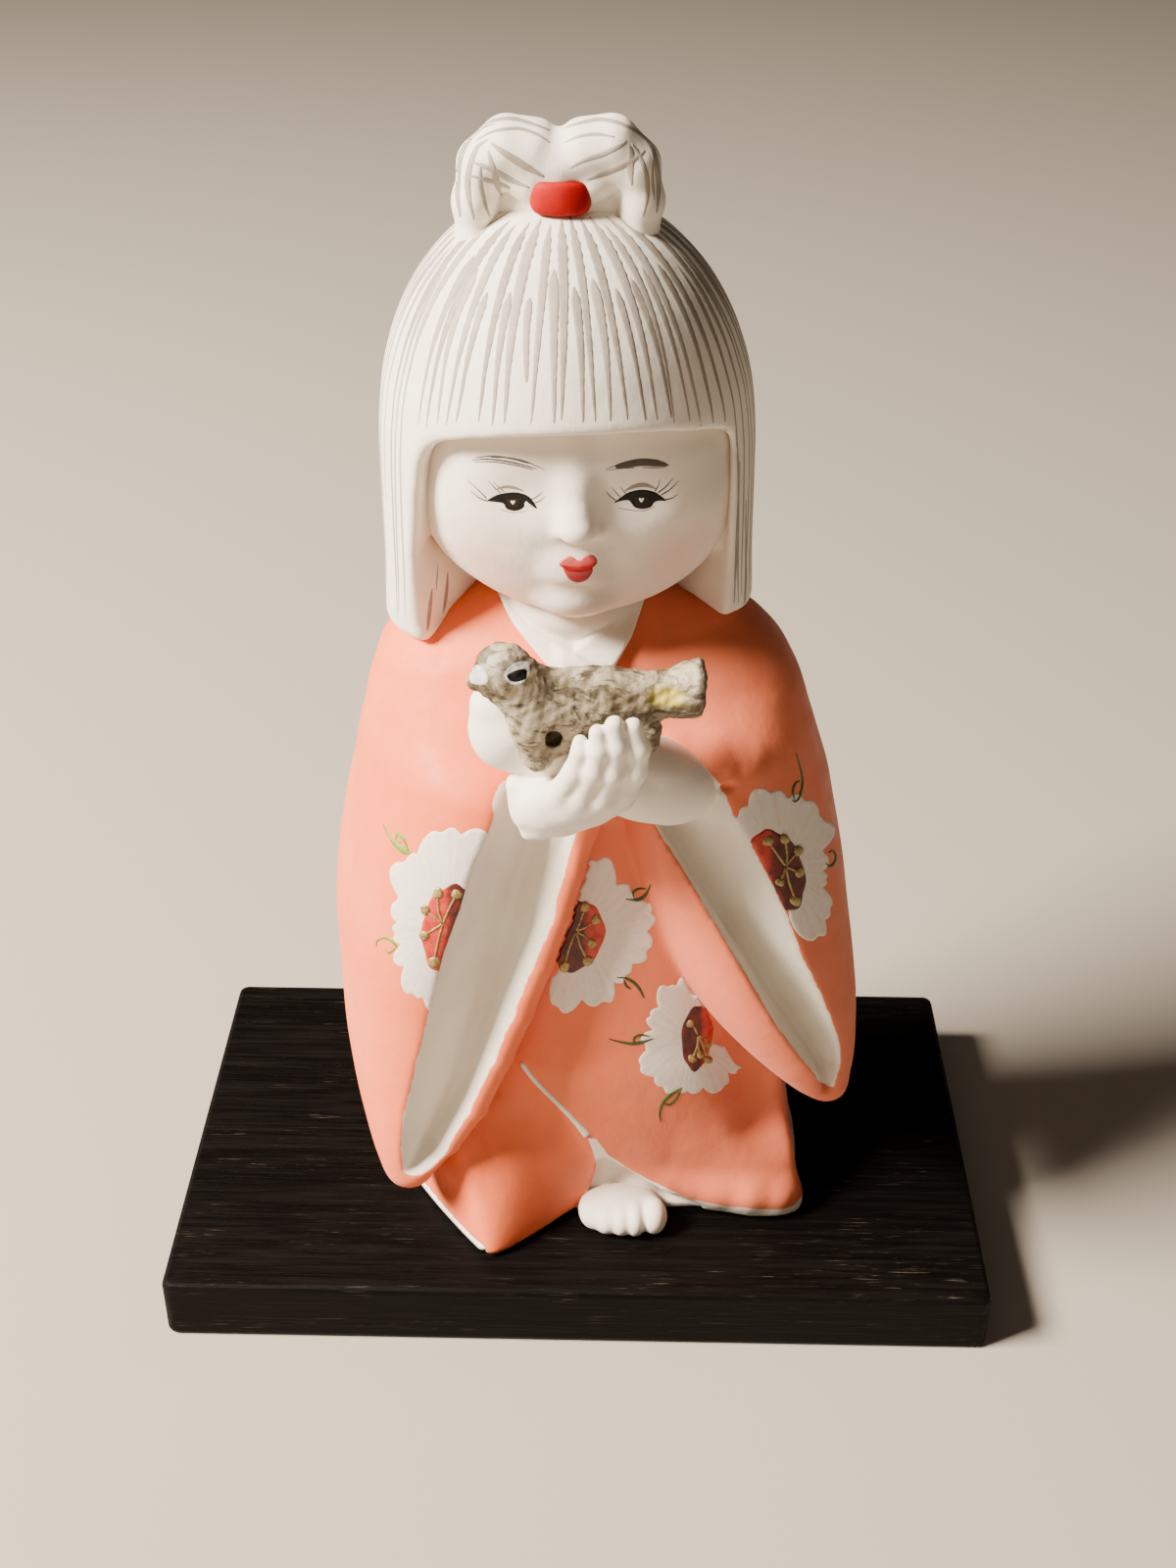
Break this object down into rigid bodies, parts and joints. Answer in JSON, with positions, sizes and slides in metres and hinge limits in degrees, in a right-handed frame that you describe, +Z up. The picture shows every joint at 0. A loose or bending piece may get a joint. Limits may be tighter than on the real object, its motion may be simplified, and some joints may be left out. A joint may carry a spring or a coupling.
{
  "type": "ceramic doll figurine",
  "caption": "Standing painted clay doll in a long-sleeved robe, bobbed hair with a looped topknot, cupping a small clay dove whistle, on a dark rectangular wooden base.",
  "frame": {"origin": "middle of the underside of the wooden base", "axes": "+Z up, the doll faces -Y, +X to the viewer's right when looking at the front"},
  "size_m": [0.18, 0.104, 0.2502],
  "materials": {
    "stained_wood": "black stain on open grain, satin",
    "peg_wood": "plain turned beech",
    "robe_paint": "matte salmon paint on unglazed clay",
    "white_paint": "matte warm white paint on unglazed clay",
    "hair_paint": "matte warm white with translucent grey brush strokes",
    "face_paint": "fine powdery white skin paint",
    "red_paint": "satin red paint",
    "worn_clay": "worn off-white slip over olive-brown clay"
  },
  "bodies": {
    "stand": {"base_board": "stained_wood", "locating_peg": "peg_wood"},
    "figure": {"kimono_body": "robe_paint", "underskirt_base": "white_paint", "tabi_foot": "white_paint", "right_sleeve": "robe_paint", "left_sleeve": "robe_paint", "right_hand": "white_paint", "left_hand": "white_paint", "under_collar": "white_paint", "head": "face_paint", "hair_cap": "hair_paint", "topknot_right_loop": "hair_paint", "topknot_left_loop": "hair_paint", "topknot_root": "hair_paint", "hair_tie": "red_paint"},
    "dove": {"dove_whistle": "worn_clay"}
  },
  "joints": [
    {"name": "figure_lift", "type": "slide", "parent": "stand", "child": "figure", "axis": [0, 0, 1], "range_m": [0, 0.035]},
    {"name": "dove_lift", "type": "slide", "parent": "figure", "child": "dove", "axis": [0, -0.1736, 0.9848], "range_m": [0, 0.045]}
  ]
}
